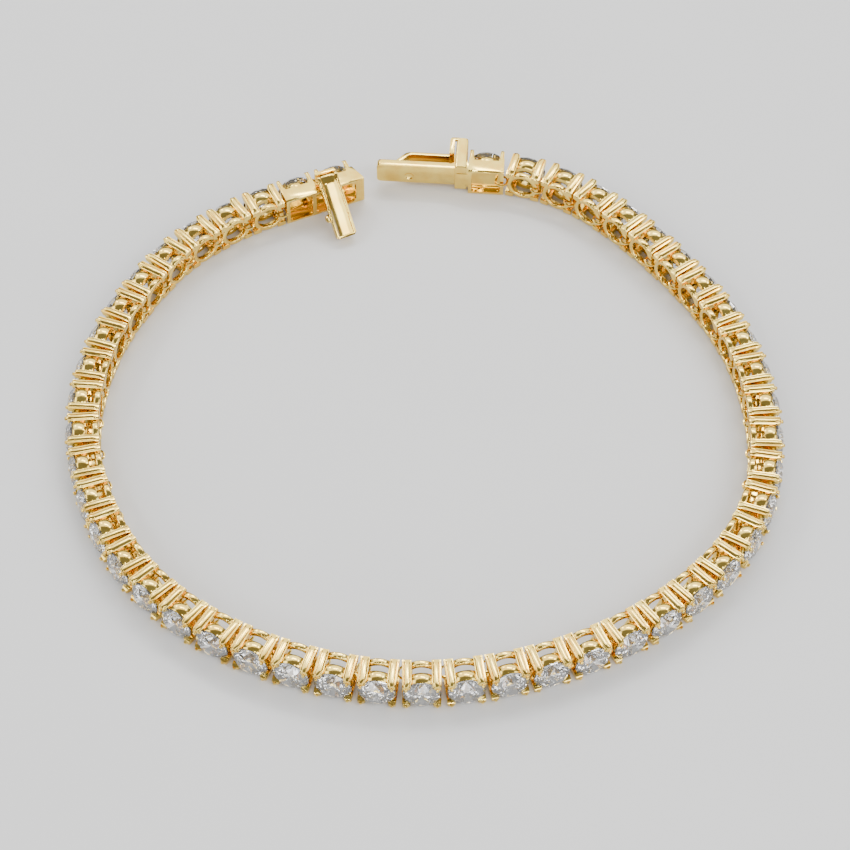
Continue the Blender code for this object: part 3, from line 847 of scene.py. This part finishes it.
def safety_skin():
    """The safety bar's crowned and faintly waved face, curled over the hinge at its top."""
    stations = []
    for angle in CURL_ANGLES:
        way = Vector((math.cos(math.radians(angle)), math.sin(math.radians(angle))))
        stations.append((way * CURL_OUT, way * CURL_IN))
    stations.append(tuple(Vector(point) for point in CURL_END))
    for step in range(SKIN_ROWS):
        y = SKIN_START + step * SKIN_STEP
        wave = WAVE_RISE * math.sin(2 * math.pi * y / WAVE_LENGTH)
        stations.append((Vector((y, SAFETY_TOP + wave)), Vector((y, SKIN_UNDER))))
    sections = []
    for top, under in stations:
        way = (top - under).normalized()
        section = []
        for x, drop in SKIN_ACROSS:
            point = top - way * drop
            section.append((x, point.x, point.y))
        section.append((SKIN_ACROSS[-1][0], under.x, under.y))
        section.append((SKIN_ACROSS[0][0], under.x, under.y))
        sections.append(section)
    return loft(sections)


def safety_bar():
    """The safety bar about its pin: X along the pin, Y from the pin to the tip, Z through the bar."""
    top = SAFETY_TOP - FRAME_DROP
    eye = arc((0.0, 0.0), EYE, 90, 240, steps=10)
    sections = []
    for x, short in TIP_ACROSS:
        tip = SAFETY_LENGTH - short
        outline = eye + [(EYE_FOOT, -SAFETY_UNDER), (tip, -SAFETY_UNDER), (tip, top), (EYE, top)]
        sections.append([(x, y, z) for y, z in outline])
    inside = (CHEEK, SAFETY_WIDTH - CHEEK)
    bore = ((PIN_BORE, -SAFETY_WIDTH), (PIN_BORE, 2 * SAFETY_WIDTH))
    cuts = [block(inside, (-SAFETY_LENGTH, SAFETY_LENGTH - TIP_WALL), (-SAFETY_LENGTH, SAFETY_LENGTH)),
            turned(bore, (0.0, 0.0), sides=20, axis="X")]
    body = fuse("safety_frame", [loft(sections)], cuts)
    clip = arc((SAFETY_WIDTH - CLIP_INSET, CLIP_PLACE), CLIP_RADIUS, -90, 90, steps=10)
    clip += [(SAFETY_WIDTH - CHEEK, y) for y in CLIP_ROOT]
    clip_piece = fuse("clip", [prism(clip, *CLIP_LEVELS)])
    return join("safety_bar_skin", [body, safety_skin(), clip_piece])


def thumb_block(near, far):
    """The thumb plate's crowned block, its far corners rounded in plan."""
    low, high = THUMB_LEVELS
    middle = (near + far) / 2
    half = (far - near) / 2
    sections = []
    for y, share, fall in THUMB_ALONG:
        section = [(middle - half * share, low), (middle + half * share, low)]
        section += [(middle + half * share * across, high - drop - fall) for across, drop in THUMB_ACROSS]
        sections.append([(x, y, z) for x, z in section])
    return loft(sections)


def spring_leaf(bend, root, level):
    """The outline of the spring leaf, from its bend on the blade up to the thumb plate."""
    far = BLADE_FAR
    return ((bend, far - SPRING_THICK), (bend + 0.0004, far - SPRING_THICK), (bend + 0.0008, far + 0.00010),
            (bend + 0.0011, far + 0.00055), (bend + 0.0014, level - 0.00008), (bend + 0.0018, level),
            (root, level), (root, level + SPRING_THICK), (bend + 0.0016, level + SPRING_THICK),
            (bend + 0.0011, level + 0.00028), (bend + 0.0007, level - 0.0001),
            (bend + 0.00035, far + 0.00035), (bend, far))


def end_box():
    """The one-stone box, its thumb plate and its folded spring tongue."""
    start = -LINK_GAP / 2
    finish = start - END_LENGTH
    block_near = finish - THUMB_GAP
    root = block_near - THUMB_SETBACK
    block_far = root + THUMB_SPACE
    solids = [box_section(start, finish)]
    solids.append(block((block_far + NECK_LAP[0], finish + NECK_LAP[1]),
                        (BOX_WALL, BOX_DEPTH - BOX_BACK / 2), (HALF - NECK_HALF, HALF + NECK_HALF)))
    cuts = [box_hollow(start - BOX_WALL, finish + BOX_WALL, END_HOLLOW_BACK)]
    cuts.append(window(finish + WINDOW_FRAME, start - WINDOW_FRAME, END_WINDOW_CORNER, END_WINDOW_DEPTH))
    cuts.append(block((start - SLOT_LENGTH, start + BOX_WALL), (BASE_DEPTH, BASE_DEPTH + SLOT_DEPTH),
                      (HALF - SLOT_HALF, HALF + SLOT_HALF)))
    cuts.append(stone_notch(END_STONE))
    body = fuse("end_body", solids, cuts)
    pieces = [body, clasp_seat(END_STONE)] + claw_bars(END_STONE, NOTCH_START, SLIM)
    pieces += face_ribs([start - inset for inset in END_RIBS] + [finish + inset for inset in END_RIBS])
    pieces.append(thumb_block(block_far, block_near))
    flare = ((block_near - FLARE_LAP, THUMB_NEAR), (finish + THUMB_GAP, THUMB_NEAR),
             (finish + THUMB_GAP, 0.0006), (block_near - 0.00004, 0.0017), (block_near - FLARE_LAP, 0.0018))
    pieces.append(fuse("flare", [prism(flare, *FLARE_LEVELS)]))
    tip = root - BLADE_LENGTH
    blade = round_outline((tip, block_far + NECK_LAP[0]), BLADE_LEVELS,
                          (BLADE_ROOT_CORNER, BLADE_CORNER, BLADE_CORNER, BLADE_ROOT_CORNER), steps=6)
    dimple = turned(DIMPLE_PROFILE, (tip + DIMPLE_PLACE[0], DIMPLE_PLACE[1]), sides=24)
    pieces.append(fuse("blade", [prism(blade, BLADE_NEAR, BLADE_FAR, "Y")], [dimple]))
    leaf_root = root + UPRIGHT_THICK
    level = BLADE_FAR + SPRING_RISE
    pieces.append(fuse("spring", [prism(spring_leaf(tip + SPRING_BEND, leaf_root, level), *SPRING_LEVELS)]))
    upright = round_outline((root, leaf_root), (level - UPRIGHT_CORNER, THUMB_REACH),
                            (UPRIGHT_CORNER, UPRIGHT_TOP_CORNER, UPRIGHT_CORNER, UPRIGHT_CORNER))
    across = (root + BRIDGE_LAPS[0], block_far + BRIDGE_LAPS[1])
    bridge = round_outline(across, BRIDGE_DEPTHS, (UPRIGHT_CORNER,) * 4)
    foot = block(across, (FOOT_NEAR, THUMB_REACH), (UPRIGHT_LEVELS[0], FOOT_TOP))
    leaf = [prism(upright, *UPRIGHT_LEVELS), prism(bridge, *BRIDGE_LEVELS), foot]
    pieces.append(fuse("thumb_leaf", leaf))
    return join("end_box_body", pieces)


# Finishes

def start_material(name):
    """A new material: itself, its nodes, what links them, and its shader."""
    material = bpy.data.materials.new(name)
    material.use_nodes = True
    nodes = material.node_tree.nodes
    return material, nodes, material.node_tree.links.new, nodes["Principled BSDF"]


def object_noise(nodes, link, scale, detail=2.0):
    """Noise on the piece's own coordinates."""
    place = nodes.new("ShaderNodeTexCoord")
    noise = nodes.new("ShaderNodeTexNoise")
    noise.inputs["Scale"].default_value = scale
    noise.inputs["Detail"].default_value = detail
    link(place.outputs["Object"], noise.inputs["Vector"])
    return noise.outputs["Fac"]


def tone_by(nodes, link, shader, noise, tones, stops=(0.0, 1.0)):
    """Colour a shader between two tones by a noise."""
    ramp = nodes.new("ShaderNodeValToRGB")
    for element, stop, tone in zip(ramp.color_ramp.elements, stops, tones):
        element.position = stop
        element.color = tone
    link(noise, ramp.inputs["Fac"])
    link(ramp.outputs["Color"], shader.inputs["Base Color"])


def gold_finish():
    """Polished yellow gold, with faint polishing marks and a slightly redder tone in patches."""
    material, nodes, link, shader = start_material("polished yellow gold")
    shader.inputs["Metallic"].default_value = 1.0
    patches = object_noise(nodes, link, GOLD_PATCH_SCALE, GOLD_PATCH_DETAIL)
    tone_by(nodes, link, shader, patches, GOLD_TONES, GOLD_STOPS)
    wear = nodes.new("ShaderNodeMapRange")
    wear.inputs["To Min"].default_value, wear.inputs["To Max"].default_value = GOLD_ROUGHNESS
    link(patches, wear.inputs["Value"])
    link(wear.outputs["Result"], shader.inputs["Roughness"])
    relief = nodes.new("ShaderNodeBump")
    relief.inputs["Strength"].default_value = GOLD_MARK_STRENGTH
    relief.inputs["Distance"].default_value = GOLD_MARK_DEPTH
    link(object_noise(nodes, link, GOLD_MARK_SCALE), relief.inputs["Height"])
    link(relief.outputs["Normal"], shader.inputs["Normal"])
    return material


def diamond_finish():
    """Clear colourless diamond with a faint tint."""
    material, nodes, link, shader = start_material("cut diamond")
    shader.inputs["Roughness"].default_value = 0.0
    shader.inputs["IOR"].default_value = DIAMOND_INDEX
    shader.inputs["Transmission Weight"].default_value = DIAMOND_CLEARNESS
    tone_by(nodes, link, shader, object_noise(nodes, link, DIAMOND_TINT_SCALE), DIAMOND_TONES)
    return material


def floor_finish():
    """Pale matt paper with a faint grain."""
    material, nodes, link, shader = start_material("pale paper")
    shader.inputs["Roughness"].default_value = PAPER_ROUGHNESS
    tone_by(nodes, link, shader, object_noise(nodes, link, PAPER_GRAIN_SCALE), PAPER_TONES)
    return material


# Stage

def area_light(name, place, size, power):
    """A rectangular soft light aimed at the bracelet."""
    lamp = bpy.data.lights.new(name, "AREA")
    lamp.shape = "RECTANGLE"
    lamp.size, lamp.size_y = size
    lamp.energy = power
    holder = bpy.data.objects.new(name, lamp)
    holder.location = place
    holder.rotation_euler = (-Vector(place)).to_track_quat("-Z", "Y").to_euler()
    bpy.context.scene.collection.objects.link(holder)


def make_stage():
    """The floor, the lights and the camera."""
    floor = block((-FLOOR_HALF, FLOOR_HALF), (-FLOOR_HALF, FLOOR_HALF), (-FLOOR_THICKNESS, 0.0))
    floor.name = "floor"
    floor.data.materials.append(floor_finish())
    world = bpy.data.worlds.new("studio")
    world.use_nodes = True
    background = world.node_tree.nodes["Background"]
    background.inputs["Color"].default_value = WORLD_TONE
    background.inputs["Strength"].default_value = WORLD_STRENGTH
    bpy.context.scene.world = world
    for name, place, size, power in SOFTBOXES:
        area_light(name, place, size, power)
    for number, (x, y, z, power) in enumerate(SPARKS, 1):
        area_light(f"spark {number}", (x, y, z), SPARK_SIZE, power)
    lens = bpy.data.cameras.new("camera")
    lens.lens = LENS_MM
    lens.sensor_width = SENSOR_MM
    lens.clip_start = CLIP_START
    camera = bpy.data.objects.new("camera", lens)
    camera.location = CAMERA_PLACE
    camera.rotation_euler = (CAMERA_TILT, 0.0, 0.0)
    bpy.context.scene.collection.objects.link(camera)
    bpy.context.scene.camera = camera


def dress(piece, material, body, replaced=()):
    """Give a finished piece its material and the body that it rides on."""
    piece.data.materials.clear()
    piece.data.materials.append(material)
    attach(piece, body)
    if replaced:
        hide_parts(*replaced)


def place_on(frame, turn, x):
    """A place at x along a clasp half, with its turn."""
    return (frame @ Vector((x, 0.0, 0.0))).to_2d(), turn


def main():
    """Make the bracelet's pieces, dress them and set the stage."""
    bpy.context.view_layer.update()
    gold = gold_finish()
    diamond = diamond_finish()
    links, receiver_place, end_place = chain_places()
    receiver_frame = frame_at(receiver_place)
    end_frame = frame_at(end_place)
    link_names = [f"link_{number:02d}" for number in range(1, LINK_COUNT + 1)]

    bars = repeat_part("prong_bars", join("bar_set", claw_bars()), links, gold)
    seats = repeat_part("seat_rings", seat_ring(), links, gold)
    rings = run_tree("base_rings", ring_tree(), links, {
        "Radius": BASE_RADIUS - BASE_WALL / 2, "Wall": BASE_WALL, "Depth": RING_DEPTH,
        "Corner Radius": BASE_EDGE, "Centre": (0.0, BASE_DEPTH / 2, HALF), "Material": gold})
    loop_near = -BASE_RADIUS - LOOP_LAP
    loop_far = -PITCH + (BASE_RADIUS - BASE_WALL) - LOOP_PLAY - WIRE / 2
    loop_in = -LOOP_IN - WIRE / 2
    loop_out = BASE_DEPTH + LOOP_OUT + WIRE / 2
    loop_places = links + [place_on(receiver_frame, receiver_place[1], PITCH / 2)]
    loop_centre = ((loop_near + loop_far) / 2, (loop_in + loop_out) / 2, HALF)
    loops = run_tree("hinge_loops", loop_tree(), loop_places, {
        "Length": loop_near - loop_far, "Depth": loop_out - loop_in, "Wire Radius": WIRE / 2,
        "Corner Radius": LOOP_CORNER, "Centre": loop_centre, "Material": gold})
    stone_places = links + [place_on(receiver_frame, receiver_place[1], x) for x in RECEIVER_STONES]
    stone_places.append(place_on(end_frame, end_place[1], END_STONE))
    stones = repeat_part("stones", brilliant(), stone_places, diamond, HALF, STONE_SPIN_SEED)
    for piece in (bars, seats, rings, loops):
        smooth(piece)
    dress(bars, gold, "bracelet", link_names)
    dress(seats, gold, "bracelet")
    dress(rings, gold, "bracelet")
    dress(loops, gold, "bracelet")
    dress(stones, diamond, "bracelet", ("receiver_stone_1", "receiver_stone_2", "end_stone"))

    box = receiver()
    box.data.transform(receiver_frame)
    dress(smooth(box), gold, "bracelet", ("receiver",))
    pin_place = Matrix.Translation((SAFETY_NEAR + SAFETY_WIDTH, PIN_Y, PIN_Z))
    hinge = pin_place @ Matrix.Rotation(SAFETY_LEAN, 4, "X")
    bar = safety_bar()
    bar.data.transform(receiver_frame @ hinge @ Matrix.Rotation(math.pi, 4, "Z"))
    dress(smooth(bar), gold, "safety_bar", ("safety_bar",))
    tongue = end_box()
    tongue.data.transform(end_frame)
    dress(smooth(tongue), gold, "bracelet", ("end_box",))

    make_stage()
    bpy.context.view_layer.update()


main()
